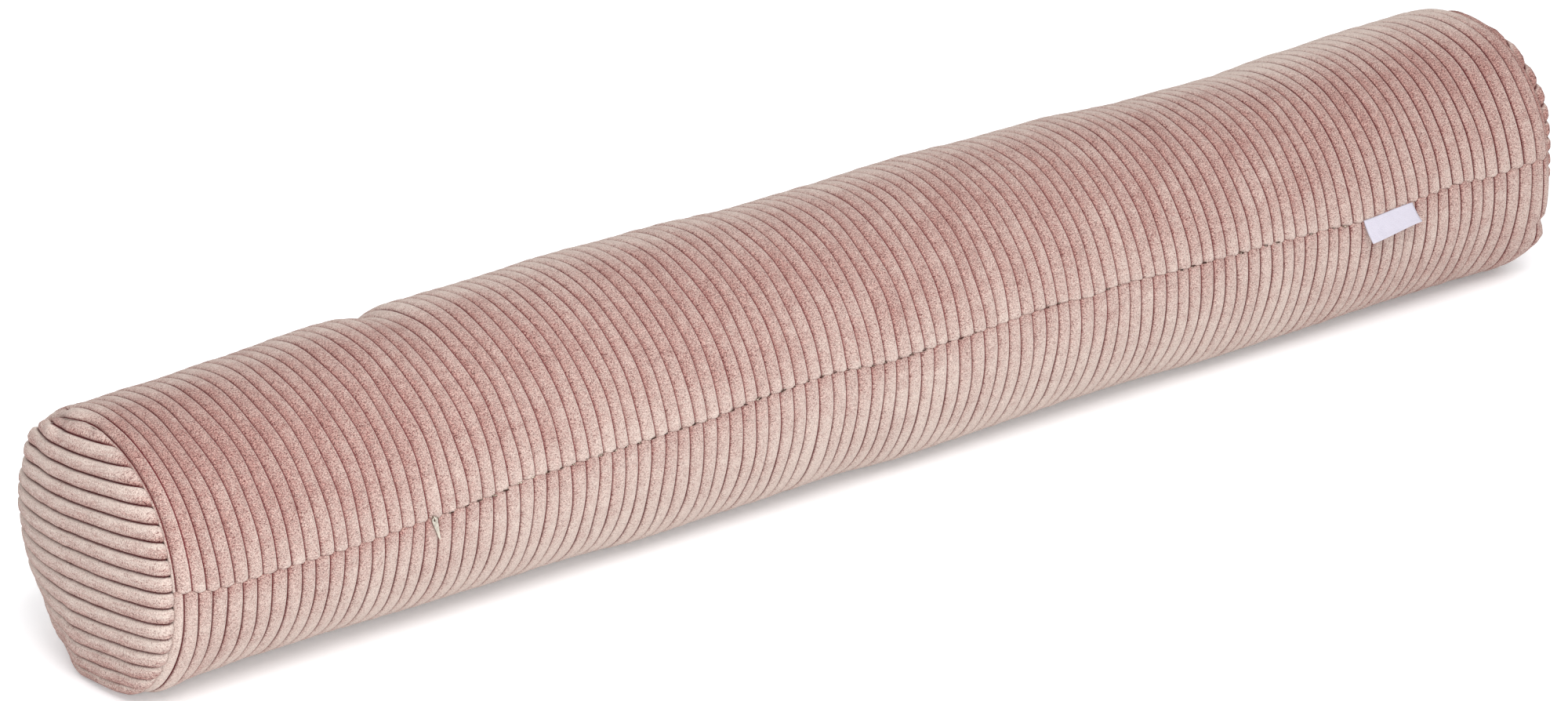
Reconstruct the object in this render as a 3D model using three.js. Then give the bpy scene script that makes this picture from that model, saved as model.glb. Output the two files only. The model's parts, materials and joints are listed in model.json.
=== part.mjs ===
// A long bolster cushion of wide-wale corduroy, lying on its underside with the closing seam at the
// front. Units are mm, +Z is up, +X runs along the cushion and -Y is the front.
// The origin is under the middle, on the surface that the cushion lies on.
import * as THREE from 'three';

// Driving dimensions
const radius = 75; // of the filled tube
const rimRadius = 69.5; // of the two end seams, where the tube is drawn in
const rimHalf = 444.5; // from the middle to each end seam
const shoulder = 14; // length over which the tube draws in
const domeHeight = 15; // of each filled end, over its seam
const domePower = 2.5; // 2 is a parabola, more is flatter in the middle
const axisHeight = 62.3; // of the tube's middle line over the surface
const undersideLimit = 65; // where the weight starts to flatten the tube
const undersideSharpness = 8;
const clearance = 0.35; // between neighbouring pieces

const discThickness = 2;
const seamValley = { halfWidth: 2.2, depth: 3 };
const flatHalfAngle = 8; // degrees each side of straight down
const zip = { half: 300, top: 3, bottom: 1.3, thick: 1.2, sunk: 0.4 };
const pull = { at: -299, length: 13, top: 3.4, tip: 1, thick: 0.8, holeRadius: 0.7, lean: 15 };
const label = { from: 309.5, to: 344.5, drop: 9.5, thick: 1.2, proud: 7 };

// Mesh density
const zipStations = 22;
const plainStations = 5;
const upperColumns = 21;
const lowerColumns = 8;
const domeSteps = 4;

// Height of the closing seam over the tube's front line, along the surface
const seamTable = [
  { along: -445, height: 5 },
  { along: -395, height: 2.4 },
  { along: -350, height: 2.6 },
  { along: -300, height: 4.4 },
  { along: -240, height: 9.5 },
  { along: -175, height: 10.3 },
  { along: -95, height: 13.7 },
  { along: -55, height: 14.8 },
  { along: -12, height: 12 },
  { along: 40, height: 13 },
  { along: 110, height: 14.8 },
  { along: 190, height: 12.6 },
  { along: 275, height: 10.6 },
  { along: 310, height: 8.8 },
  { along: 350, height: 11 },
  { along: 385, height: 12.6 },
  { along: 445, height: 11.8 },
];

// How far the filling pushes out (or lets in) the upper back and the lower front
const fillTable = [
  { along: -445, back: -0.5, front: -1 },
  { along: -350, back: -0.5, front: -3 },
  { along: -290, back: 1.5, front: -2.5 },
  { along: -205, back: 2, front: -2 },
  { along: -150, back: 3, front: 0.5 },
  { along: -90, back: 2.3, front: 0 },
  { along: -30, back: 0, front: -1 },
  { along: 10, back: 0.2, front: 1.5 },
  { along: 80, back: 1.3, front: 0 },
  { along: 130, back: 0, front: -1.2 },
  { along: 165, back: 0, front: -0.8 },
  { along: 230, back: -3.4, front: 1.8 },
  { along: 290, back: -4, front: 1.5 },
  { along: 340, back: -1.6, front: 0.8 },
  { along: 395, back: 0, front: 1 },
  { along: 445, back: -0.5, front: 1 },
];
const backBulge = { angle: 116, spread: 75 };
const frontBulge = { angle: -61, spread: 50 };

const radians = THREE.MathUtils.degToRad;
const degrees = THREE.MathUtils.radToDeg;

function lookUp(table, column, along) {
  const last = table.length - 1;
  if (along <= table[0].along) return table[0][column];
  if (along >= table[last].along) return table[last][column];
  const i = table.findIndex((row) => row.along > along);
  const [low, high] = [table[i - 1], table[i]];
  const share = THREE.MathUtils.smoothstep(along, low.along, high.along);
  return THREE.MathUtils.lerp(low[column], high[column], share);
}

function bell(angle, middle, spread) {
  const away = Math.abs(((angle - middle + 540) % 360) - 180);
  return away < spread ? 0.5 + 0.5 * Math.cos((Math.PI * away) / spread) : 0;
}

// Radius of the filled tube at a station, before it is flattened
function tubeRadius(along, angle) {
  const fromRim = Math.min(Math.max(rimHalf - Math.abs(along), 0), shoulder);
  const drawn = rimRadius + (radius - rimRadius) * Math.sin((Math.PI / 2) * (fromRim / shoulder));
  const back = lookUp(fillTable, 'back', along) * bell(angle, backBulge.angle, backBulge.spread);
  const front = lookUp(fillTable, 'front', along) * bell(angle, frontBulge.angle, frontBulge.spread);
  return drawn + (back + front) * (fromRim / shoulder);
}

// A point of the cushion; angle is in degrees, 0 at the front line and 90 on top
function point(along, angle, r) {
  const a = radians(angle);
  const z = r * Math.sin(a);
  const power = -undersideSharpness;
  const low = -((Math.abs(z) ** power + undersideLimit ** power) ** (1 / power));
  const height = axisHeight + (z < 0 ? low : z);
  return new THREE.Vector3(along, -r * Math.cos(a), Math.max(height, 0));
}

function seamAngle(along) {
  return degrees(lookUp(seamTable, 'height', along) / radius);
}

// Angles of one ring: the seam's valley, over the top and back, the flat underside, the lower front
function ringAngles(along) {
  const seam = seamAngle(along);
  const edge = degrees(seamValley.halfWidth / radius);
  const angles = [seam];
  const flatStart = 270 - flatHalfAngle;
  for (let i = 0; i <= upperColumns; i += 1) {
    angles.push(THREE.MathUtils.lerp(seam + edge, flatStart, i / upperColumns));
  }
  angles.push(270);
  for (let i = 0; i <= lowerColumns; i += 1) {
    angles.push(THREE.MathUtils.lerp(270 + flatHalfAngle, 360 + seam - edge, i / lowerColumns));
  }
  return angles;
}

function tubeRing(along) {
  return ringAngles(along).map((angle, i) => {
    const valley = i === 0 ? seamValley.depth : 0;
    return point(along, angle, tubeRadius(along, angle) - valley);
  });
}

// Rings of a filled end, from its middle out to its seam; side is -1 at the left and 1 at the right
function domeRings(side, depth) {
  const rings = [];
  for (let i = 1; i <= domeSteps; i += 1) {
    const share = Math.sin((Math.PI / 2) * (i / domeSteps));
    const along = side * (rimHalf + domeHeight * (1 - share ** domePower) - depth);
    rings.push(ringAngles(side * rimHalf).map((angle) => point(along, angle, rimRadius * share)));
  }
  return rings;
}

function pole(side, depth) {
  return point(side * (rimHalf + domeHeight - depth), 0, 0);
}

// A closed solid through rings of equal length, with a point or a flat fan at each end
function ringSolid(rings, startPoint, endPoint) {
  const count = rings[0].length;
  const middleOf = (ring) => {
    const sum = ring.reduce((total, p) => total.add(p), new THREE.Vector3());
    return sum.divideScalar(ring.length);
  };
  const first = startPoint ?? middleOf(rings[0]);
  const points = [first, ...rings.flat(), endPoint ?? middleOf(rings.at(-1))];
  const triangles = [];
  const at = (ring, i) => 1 + ring * count + (i % count);
  for (let i = 0; i < count; i += 1) {
    triangles.push([0, at(0, i + 1), at(0, i)]);
    triangles.push([points.length - 1, at(rings.length - 1, i), at(rings.length - 1, i + 1)]);
    for (let ring = 0; ring < rings.length - 1; ring += 1) {
      triangles.push([at(ring, i), at(ring, i + 1), at(ring + 1, i)]);
      triangles.push([at(ring, i + 1), at(ring + 1, i + 1), at(ring + 1, i)]);
    }
  }
  let volume = 0;
  for (const [a, b, c] of triangles) {
    volume += points[a].dot(new THREE.Vector3().crossVectors(points[b], points[c]));
  }
  const outward = volume > 0 ? triangles : triangles.map(([a, b, c]) => [a, c, b]);
  const geometry = new THREE.BufferGeometry();
  const numbers = points.flatMap((p) => p.toArray());
  geometry.setAttribute('position', new THREE.Float32BufferAttribute(numbers, 3));
  geometry.setIndex(outward.flat());
  geometry.computeVertexNormals();
  return geometry;
}

const corduroy = { color: 0xc49890, roughness: 0.95, metalness: 0 };
const finishes = {
  bolster_body: corduroy,
  end_disc: corduroy,
  label: { color: 0xe9e7f2, roughness: 0.7, metalness: 0 },
  zip_chain: { color: 0x4b463c, roughness: 0.6, metalness: 0 },
  zip_pull: { color: 0xb5aa9a, roughness: 0.35, metalness: 1 },
};

function piece(name, geometry, finish) {
  const mesh = new THREE.Mesh(geometry, new THREE.MeshStandardMaterial(finish));
  mesh.name = name;
  return mesh;
}

function spread(from, to, steps) {
  return Array.from({ length: steps }, (_, i) => THREE.MathUtils.lerp(from, to, i / steps));
}

// Stations of the tube's rings: two on each shoulder, even between, and one at each end of the zip
function stations() {
  const straight = rimHalf - shoulder;
  return [
    -rimHalf + 0.2 * shoulder,
    -rimHalf + 0.5 * shoulder,
    ...spread(-straight, -zip.half, plainStations),
    ...spread(-zip.half, zip.half, zipStations),
    ...spread(zip.half, straight, plainStations),
    straight,
    rimHalf - 0.5 * shoulder,
    rimHalf - 0.2 * shoulder,
  ];
}

// The wrapped panel with its filling, as one solid
function body() {
  const inner = discThickness + clearance;
  const left = domeRings(-1, inner);
  const right = domeRings(1, inner).reverse();
  return ringSolid([...left, ...stations().map(tubeRing), ...right], pole(-1, inner), pole(1, inner));
}

// A round end piece, domed over the filling
function endDisc(side) {
  const [first, second] = side < 0 ? [discThickness, 0] : [0, discThickness];
  const rings = [...domeRings(side, first), ...domeRings(side, second).reverse()];
  return ringSolid(rings, pole(side, first), pole(side, second));
}

// The zip's teeth and tapes, as far as they show down in the seam
function zipChain() {
  const corners = [
    { across: -zip.top / 2, sunk: zip.sunk },
    { across: zip.top / 2, sunk: zip.sunk },
    { across: zip.bottom / 2, sunk: zip.sunk + zip.thick },
    { across: -zip.bottom / 2, sunk: zip.sunk + zip.thick },
  ];
  const rings = stations().filter((along) => Math.abs(along) <= zip.half).map((along) => {
    const seam = seamAngle(along);
    return corners.map(({ across, sunk }) => {
      const angle = seam + degrees(across / radius);
      return point(along, angle, tubeRadius(along, seam) - sunk);
    });
  });
  return ringSolid(rings);
}

// The slider's tapered pull, hanging flat against the cloth below the seam
function zipPull() {
  const outline = new THREE.Shape();
  const [top, tip] = [pull.top / 2, pull.tip / 2];
  outline.absarc(0, 0, top, 0, Math.PI, false);
  outline.lineTo(-tip, -pull.length + top + tip);
  outline.absarc(0, -pull.length + top + tip, tip, Math.PI, 2 * Math.PI, false);
  outline.lineTo(top, 0);
  const hole = new THREE.Path();
  hole.absarc(0, 0, pull.holeRadius, 0, 2 * Math.PI, true);
  outline.holes.push(hole);
  const settings = { depth: pull.thick, bevelEnabled: false, curveSegments: 8 };
  const plate = new THREE.ExtrudeGeometry(outline, settings);
  plate.rotateX(Math.PI / 2);
  plate.rotateY(radians(-pull.lean));
  const height = axisHeight + lookUp(seamTable, 'height', pull.at);
  plate.translate(pull.at, -radius - clearance, height);
  return plate;
}

// The folded label, sewn into the seam by its top edge and standing off the cloth below
function labelStrip() {
  const steps = 5;
  const rings = [];
  for (const along of [label.from, (label.from + label.to) / 2, label.to]) {
    const seam = lookUp(seamTable, 'height', along);
    const outside = [];
    const inside = [];
    for (let i = 0; i <= steps; i += 1) {
      const share = i / steps;
      const height = seam - share * label.drop;
      const cloth = Math.sqrt(radius ** 2 - height ** 2);
      const y = -cloth - clearance - label.proud * share ** 1.5;
      outside.push(new THREE.Vector3(along, y - label.thick, axisHeight + height));
      inside.unshift(new THREE.Vector3(along, y, axisHeight + height));
    }
    rings.push([...outside, ...inside]);
  }
  return ringSolid(rings);
}

const bolster = new THREE.Group();
bolster.add(piece('bolster_body', body(), finishes.bolster_body));
bolster.add(piece('end_disc_left', endDisc(-1), finishes.end_disc));
bolster.add(piece('end_disc_right', endDisc(1), finishes.end_disc));
bolster.add(piece('zip_chain', zipChain(), finishes.zip_chain));
bolster.add(piece('zip_pull', zipPull(), finishes.zip_pull));
bolster.add(piece('label', labelStrip(), finishes.label));

export default bolster;
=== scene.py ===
import json
import math

import bmesh
import bpy
import numpy as np
from mathutils import Matrix, Vector

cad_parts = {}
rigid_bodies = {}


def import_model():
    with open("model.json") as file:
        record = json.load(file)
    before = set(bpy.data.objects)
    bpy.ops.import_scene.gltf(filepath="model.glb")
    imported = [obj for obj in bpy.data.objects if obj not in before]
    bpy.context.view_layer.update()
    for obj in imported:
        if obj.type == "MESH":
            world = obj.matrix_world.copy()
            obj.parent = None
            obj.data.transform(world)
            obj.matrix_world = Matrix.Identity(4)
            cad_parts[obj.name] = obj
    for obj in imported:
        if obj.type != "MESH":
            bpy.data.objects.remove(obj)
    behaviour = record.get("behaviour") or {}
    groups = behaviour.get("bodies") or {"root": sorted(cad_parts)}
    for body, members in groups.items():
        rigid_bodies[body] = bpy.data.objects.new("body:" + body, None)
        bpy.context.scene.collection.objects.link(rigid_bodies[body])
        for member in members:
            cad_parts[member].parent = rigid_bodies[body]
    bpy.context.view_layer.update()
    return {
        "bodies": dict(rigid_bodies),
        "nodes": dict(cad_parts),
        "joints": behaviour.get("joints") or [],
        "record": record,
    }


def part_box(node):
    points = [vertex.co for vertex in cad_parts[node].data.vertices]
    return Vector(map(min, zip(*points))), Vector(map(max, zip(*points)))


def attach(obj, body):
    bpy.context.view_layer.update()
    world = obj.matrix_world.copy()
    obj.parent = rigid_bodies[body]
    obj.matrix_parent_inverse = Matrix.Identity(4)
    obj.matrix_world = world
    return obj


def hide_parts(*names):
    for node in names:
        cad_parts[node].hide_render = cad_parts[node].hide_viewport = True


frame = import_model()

mm = 0.001

# The cloth is measured from its seams: "across" runs along the cushion, from wale to wale,
# and "down" runs round it from the closing seam at the front, along the wales.
cushion = {
    "wales": 110,             # between the two end seams
    "flatLength": 0.900,      # of the panel, seam to seam
    "crestRadius": 0.075,     # over the tops of the wales
    "relief": 0.0017,         # wale height over the grooves
    "squareness": 6.5,        # of a wale's section: 2 is round, more is flatter on top
    "rimRadius": 0.0700,      # of the end seams, over the wales
    "shoulder": 0.014,        # where the tube draws in to its end seams
    "domeHeight": 0.0140,
    "domePower": 2.5,
    "domeEdge": 0.55,         # under 1 rolls the dome's edge over
    "domeInset": 0.0005,      # of a dome's edge, inside its seam
    "roll": 0.0022,           # how far a dome's edge swells out over its seam
    "rollHeight": 0.8,        # up to where it does, as a share of the dome
    "endReach": 0.05,         # of what the two tables of the ends do to the tube
    "weightLimit": 0.065,     # how far below its middle the tube can hang
    "weightSharpness": 8,
    "pressed": 0.0027,        # how far the weight presses the hanging underside flat
    "floorGap": 0.0004,       # under the lowest wales
    "discShell": 0.002,       # from the inner face of an end to its seam
    "firstGroove": 0.8,       # wales from the left end seam, just below the front seam
    "frontFade": 0.03,        # from the end seams, over which the front's filling comes in
    "fullnessCore": 0.02,     # radius inside which the unevenness of the filling fades out
    "roundCuts": 64,
    "lengthCuts": 120,
    "domeCuts": 24,
    "shoulderSteps": 24,      # of the outline
    "domeSteps": 120,
    "domeSpacing": 1.5,       # how much closer these are at the dome's edge
}

# Heights of the front seam over the tube's front line, mm
seamRows = [
    dict(along=-445, height=5.0), dict(along=-425, height=2.4), dict(along=-350, height=2.6),
    dict(along=-300, height=4.3), dict(along=-270, height=6.3), dict(along=-240, height=9.4),
    dict(along=-175, height=10.2), dict(along=-133, height=10.8), dict(along=-96, height=13.6),
    dict(along=-55, height=14.9), dict(along=-13, height=11.8), dict(along=28, height=12.7),
    dict(along=100, height=14.8), dict(along=122, height=13.2), dict(along=138, height=14.8),
    dict(along=190, height=12.6), dict(along=235, height=11.8), dict(along=278, height=10.5),
    dict(along=310, height=8.6), dict(along=348, height=11.2), dict(along=383, height=13.0),
    dict(along=405, height=11.2), dict(along=445, height=11.8),
]

# How far the wales have drifted from even spacing, in wales: at the seam and over the top
driftRows = [
    dict(along=-445, seam=-0.30, top=-0.60), dict(along=-404, seam=-0.21, top=-0.66),
    dict(along=-360, seam=-0.08, top=-0.62), dict(along=-320, seam=-0.07, top=-0.58),
    dict(along=-300, seam=-0.20, top=-0.60), dict(along=-260, seam=-0.16, top=-0.58),
    dict(along=-200, seam=-0.27, top=-0.54), dict(along=-140, seam=-0.20, top=-0.52),
    dict(along=-75, seam=-0.22, top=-0.36), dict(along=-25, seam=-0.06, top=-0.18),
    dict(along=25, seam=0.05, top=0.12), dict(along=100, seam=0.15, top=0.22),
    dict(along=170, seam=0.25, top=0.26), dict(along=245, seam=0.30, top=0.20),
    dict(along=300, seam=0.24, top=0.32), dict(along=350, seam=0.05, top=0.32),
    dict(along=445, seam=0.05, top=0.20),
]

# How far the upper wales sit to the right of the lower ones at the seam, in wales
slipRows = [
    dict(along=-445, slip=0.54), dict(along=-394, slip=0.40), dict(along=-345, slip=0.29),
    dict(along=-247, slip=0.28), dict(along=-198, slip=0.44), dict(along=-149, slip=0.34),
    dict(along=-100, slip=0.37), dict(along=-50, slip=0.31), dict(along=47, slip=0.26),
    dict(along=97, slip=0.13), dict(along=145, slip=0.13), dict(along=244, slip=0.29),
    dict(along=293, slip=0.17), dict(along=342, slip=0.26), dict(along=445, slip=0.42),
]

# Where the filling pushes the cloth out or lets it in, mm, at the upper back and the lower front
fillRows = [
    dict(along=-445, back=-0.5, front=-1.0), dict(along=-420, back=-2.5, front=-3.0),
    dict(along=-385, back=-2.5, front=-4.0), dict(along=-350, back=-1.0, front=-4.0),
    dict(along=-292, back=1.5, front=-2.5), dict(along=-284, back=1.3, front=-2.5),
    dict(along=-265, back=-1.9, front=-2.3), dict(along=-247, back=1.8, front=-2.2),
    dict(along=-205, back=2.0, front=-2.0), dict(along=-150, back=3.0, front=0.5),
    dict(along=-90, back=2.3, front=0.0), dict(along=-30, back=0.0, front=-1.0),
    dict(along=10, back=0.2, front=1.5), dict(along=80, back=1.3, front=0.0),
    dict(along=130, back=0.0, front=-1.2), dict(along=165, back=0.0, front=-0.8),
    dict(along=230, back=-3.4, front=1.8), dict(along=290, back=-4.0, front=1.5),
    dict(along=340, back=-1.6, front=0.8), dict(along=395, back=0.0, front=1.0),
    dict(along=445, back=-0.5, front=1.0),
]

# The middle of each, and how far it spreads, in degrees above the level of the front
fillZones = {"back": (116, 75), "front": (-61, 50)}

# Round each end seam, in degrees from the front over the top: how far it lies outside a circle,
# and outside a flat end, mm
leftEndRows = [
    dict(angle=0, grow=0.0, lean=2.0), dict(angle=45, grow=0.0, lean=1.5),
    dict(angle=85, grow=-2.0, lean=0.5), dict(angle=110, grow=-2.2, lean=0.0),
    dict(angle=130, grow=-1.0, lean=-1.5), dict(angle=155, grow=-4.0, lean=-5.5),
    dict(angle=185, grow=-5.0, lean=-9.0), dict(angle=220, grow=-7.0, lean=-10.5),
    dict(angle=245, grow=-4.5, lean=-7.0), dict(angle=272, grow=2.0, lean=1.5),
    dict(angle=310, grow=0.0, lean=3.5), dict(angle=360, grow=0.0, lean=2.0),
]
rightEndRows = [
    dict(angle=0, grow=-2.0, lean=7.2), dict(angle=30, grow=-0.5, lean=7.5),
    dict(angle=60, grow=0.5, lean=8.0), dict(angle=90, grow=0.5, lean=7.0),
    dict(angle=130, grow=1.0, lean=4.0), dict(angle=180, grow=0.0, lean=1.0),
    dict(angle=270, grow=2.0, lean=2.5), dict(angle=295, grow=2.5, lean=5.0),
    dict(angle=325, grow=1.5, lean=9.0), dict(angle=360, grow=-2.0, lean=7.2),
]


def newObject(name, mesh):
    made = bpy.data.objects.new(name, mesh)
    bpy.context.scene.collection.objects.link(made)
    return made


# A column of a table, read smoothly between its rows: along the cushion, in m, or at an angle
def lookUp(rows, column, at):
    key, size = ("along", mm) if "along" in rows[0] else ("angle", 1.0)
    places = np.array([row[key] for row in rows]) * size
    values = np.array([row[column] for row in rows], float)
    at = np.clip(at, places[0], places[-1])
    i = np.clip(np.searchsorted(places, at, side="right") - 1, 0, len(places) - 2)
    share = (at - places[i]) / (places[i + 1] - places[i])
    share = share * share * (3 - 2 * share)
    return values[i] * (1 - share) + values[i + 1] * share


def bell(angle, middle, spread):
    away = np.abs((angle - middle + 540) % 360 - 180)
    return np.where(away < spread, 0.5 + 0.5 * np.cos(np.pi * np.minimum(away, spread) / spread), 0)


def smoothStep(low, high, value):
    share = np.clip((value - low) / (high - low), 0, 1)
    return share * share * (3 - 2 * share)


def unit(vectors):
    return vectors / np.maximum(np.linalg.norm(vectors, axis=-1, keepdims=True), 1e-12)


halfLength = cushion["flatLength"] / 2
pitch = cushion["flatLength"] / cushion["wales"]
groundRadius = cushion["crestRadius"] - cushion["relief"]
girth = 2 * np.pi * groundRadius
rimHalf = (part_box("end_disc_right")[0].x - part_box("end_disc_left")[1].x) / 2 + cushion["discShell"]
axisHeight = cushion["weightLimit"] - cushion["pressed"]
middleOfFilling = np.array([0, 0, axisHeight])


# One half of the cushion's outline as distances along the axis and radii: from the middle of
# the tube to its end seam, and from there to the middle of the domed end
def outline():
    c = cushion
    rim = c["rimRadius"] - c["relief"]
    turn = np.linspace(0, np.pi / 2, c["shoulderSteps"])
    tubeAlong = np.concatenate([[0], rimHalf - c["shoulder"] * (1 - np.sin(turn))])
    tubeRadius = np.concatenate([[groundRadius], rim + (groundRadius - rim) * np.cos(turn)])
    share = 1 - np.linspace(0, 1, c["domeSteps"]) ** c["domeSpacing"]
    domeRise = c["domeHeight"] * (1 - share ** c["domePower"]) ** c["domeEdge"]
    swell = c["roll"] * np.sin(np.pi * np.clip(domeRise / c["domeHeight"] / c["rollHeight"], 0, 1))
    return (tubeAlong, tubeRadius), (rimHalf - c["domeInset"] + domeRise, rim * share + swell)


def evenly(alongs, radii, count):
    length = np.concatenate([[0], np.cumsum(np.hypot(np.diff(alongs), np.diff(radii)))])
    places = np.linspace(0, length[-1], count)
    return np.interp(places, length, alongs), np.interp(places, length, radii)


# The grids that the cloth is laid on: one for the tube, one for each end, in rings of points
def cushionGrids():
    c = cushion
    (tubeAlong, tubeRadius), (domeAlong, domeRadius) = outline()
    half = c["lengthCuts"] // 2
    alongs, radii = evenly(tubeAlong, tubeRadius, half + 1)
    alongs = np.concatenate([-alongs[:0:-1], alongs])
    radii = np.concatenate([radii[:0:-1], radii])
    angles = np.arange(c["roundCuts"]) * 2 * np.pi / c["roundCuts"]

    def ring(along, r):
        return np.stack([np.full_like(angles, along), -r * np.cos(angles), r * np.sin(angles)], -1)

    tube = np.array([ring(a, r) for a, r in zip(alongs, radii)])
    domeAlongs, domeRadii = evenly(domeAlong, domeRadius, c["domeCuts"] + 1)
    ends = {side: np.array([ring(side * a, r) for a, r in zip(domeAlongs, domeRadii)])
            for side in (-1, 1)}
    return tube, ends


# Unevenness of the filling, the pull on the ends and the weight, on points about the tube's axis;
# room is left under them for wales of this relief
def settle(points, relief):
    x, y, z = points[..., 0], points[..., 1], points[..., 2]
    r = np.hypot(y, z)
    angle = np.degrees(np.arctan2(z, -y))
    inside = smoothStep(0, cushion["frontFade"], rimHalf - np.abs(x))
    grow = lookUp(fillRows, "back", x) * bell(angle, *fillZones["back"])
    grow = grow + lookUp(fillRows, "front", x) * bell(angle, *fillZones["front"]) * inside
    for rows, side in ((leftEndRows, -1), (rightEndRows, 1)):
        near = smoothStep(rimHalf - cushion["endReach"], rimHalf, side * x)
        fromMiddle = np.minimum(r / groundRadius, 1) ** 2
        grow = grow + lookUp(rows, "grow", angle % 360) * near * fromMiddle
        x = x + side * lookUp(rows, "lean", angle % 360) * near * fromMiddle * mm
    scale = 1 + grow * mm / np.maximum(r, cushion["fullnessCore"])
    y, z = y * scale, z * scale
    power = -cushion["weightSharpness"]
    limit = cushion["weightLimit"] - cushion["relief"]
    hang = (np.maximum(-z, 1e-4) ** power + limit ** power) ** (1 / power)
    z = np.where(z < 0, -hang, z)
    lowest = relief + cushion["floorGap"]
    return np.stack([x, y, np.maximum(axisHeight + z, lowest)], -1)


filling = {
    "pressure": 6.0,
    "frames": 20,             # for which it is blown up
    "gather": 0.955,          # length of the end seams against the cloth that is sewn into them
    "stiffness": 12.0,
    "shear": 4.0,
    "bending": 0.4,
    "damping": 15,
    "clothMass": 0.3,
    "quality": 6,
    "startNoise": 0.0004, "seed": 12,
    "smoothing": 2,
    "middleShare": 0.35,      # of the movement that is kept, along the tube
    "endShare": 0.7,          # and at its ends
    "endReach": 0.10,         # how far these reach
    "cap": 0.004,             # the furthest that a point may move
}


# The casing as it was cut: flat ends on shorter seams, and a straight tube between them
def cutPattern(turn, tubeRings):
    domeCuts = cushion["domeCuts"]
    shares = np.arange(domeCuts) / domeCuts
    radii = np.concatenate([shares, np.ones(tubeRings), shares[::-1]]) * groundRadius
    radii[[domeCuts, -domeCuts - 1]] *= filling["gather"]
    alongs = np.concatenate([np.full(domeCuts, -1), np.linspace(-1, 1, tubeRings),
                             np.full(domeCuts, 1)]) * halfLength
    return np.stack([alongs[:, None] + 0 * turn, -radii[:, None] * np.cos(turn),
                     radii[:, None] * np.sin(turn)], -1)


# Faces between rings that close on themselves and end in one point at each pole
def ringFaces(rings):
    index = np.arange(rings.shape[0] * rings.shape[1]).reshape(rings.shape[:2])
    index[0], index[-1] = index[0, 0], index[-1, 0]
    nextOver = np.roll(index, -1, axis=1)
    corners = np.stack([index[:-1], index[1:], nextOver[1:], nextOver[:-1]], -1).reshape(-1, 4)
    used, corners = np.unique(corners, return_inverse=True)
    return used, [list(dict.fromkeys(face)) for face in corners.reshape(-1, 4).tolist()]


def setCloth(cloth, restKey):
    f = filling
    cloth.rest_shape_key = restKey
    cloth.quality = f["quality"]
    cloth.mass = f["clothMass"]
    cloth.tension_stiffness = cloth.compression_stiffness = f["stiffness"]
    cloth.shear_stiffness = f["shear"]
    cloth.bending_stiffness = f["bending"]
    cloth.tension_damping = cloth.compression_damping = f["damping"]
    cloth.use_pressure = True
    cloth.uniform_pressure_force = f["pressure"]
    cloth.effector_weights.gravity = 0


# Rings of cloth after they are blown up, cut to a flat pattern
def blownUp(rings, pattern):
    used, faces = ringFaces(rings)
    mesh = bpy.data.meshes.new("casing")
    mesh.from_pydata(rings.reshape(-1, 3)[used].tolist(), [], faces)
    casing = newObject("casing", mesh)
    casing.shape_key_add(name="Basis")
    restKey = casing.shape_key_add(name="cutPattern")
    restKey.data.foreach_set("co", pattern.reshape(-1, 3)[used].reshape(-1))
    modifier = casing.modifiers.new("filled", "CLOTH")
    setCloth(modifier.settings, restKey)
    stage = bpy.context.scene
    stage.frame_start, stage.frame_end = 1, filling["frames"]
    modifier.point_cache.frame_end = filling["frames"]
    for step in range(1, filling["frames"] + 1):
        stage.frame_set(step)
    evaluated = casing.evaluated_get(bpy.context.evaluated_depsgraph_get()).data
    moved = np.zeros(len(used) * 3)
    evaluated.vertices.foreach_get("co", moved)
    stage.frame_set(1)
    bpy.data.objects.remove(casing)
    full = rings.reshape(-1, 3).copy()
    full[used] = moved.reshape(-1, 3)
    full = full.reshape(rings.shape)
    full[0], full[-1] = full[0, 0], full[-1, 0]
    return full


# The casing blown up by its filling: cloth sewn to shorter end seams puckers beside them
def puckered(tube, ends):
    f, domeCuts = filling, cushion["domeCuts"]
    rings = np.concatenate([ends[-1][:0:-1], tube, ends[1][1:]])
    start = rings + np.random.default_rng(f["seed"]).normal(0, f["startNoise"], rings.shape)
    turn = np.arctan2(rings[..., 2], -rings[..., 1])
    shift = blownUp(start, cutPattern(turn, len(tube))) - rings

    # what is left of each ring's movement once the ring as a whole stays in place
    radial = np.stack([0 * turn, -np.cos(turn), np.sin(turn)], -1)
    away = (shift * radial).sum(-1, keepdims=True)
    endways = shift * [1.0, 0, 0]
    shift = radial * (away - away.mean(1, keepdims=True)) + (endways - endways.mean(1, keepdims=True))
    for _ in range(f["smoothing"]):
        shift = (np.roll(shift, 1, 1) + 2 * shift + np.roll(shift, -1, 1)) / 4
        padded = np.concatenate([shift[:1], shift, shift[-1:]])
        shift = (padded[:-2] + 2 * shift + padded[2:]) / 4
    nearEnd = smoothStep(f["endReach"], 0.0, rimHalf - np.abs(rings[..., :1]))
    shift *= f["middleShare"] + (f["endShare"] - f["middleShare"]) * nearEnd
    length = np.linalg.norm(shift, axis=-1, keepdims=True)
    shift *= np.minimum(1, f["cap"] / np.maximum(length, 1e-9))
    print("filling: puckers up to mm", (np.abs(shift).max() / mm).round(2))
    first, last = domeCuts, domeCuts + len(tube)
    newEnds = {-1: ends[-1] + shift[domeCuts::-1], 1: ends[1] + shift[last - 1:]}
    return tube + shift[first:last], newEnds


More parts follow.
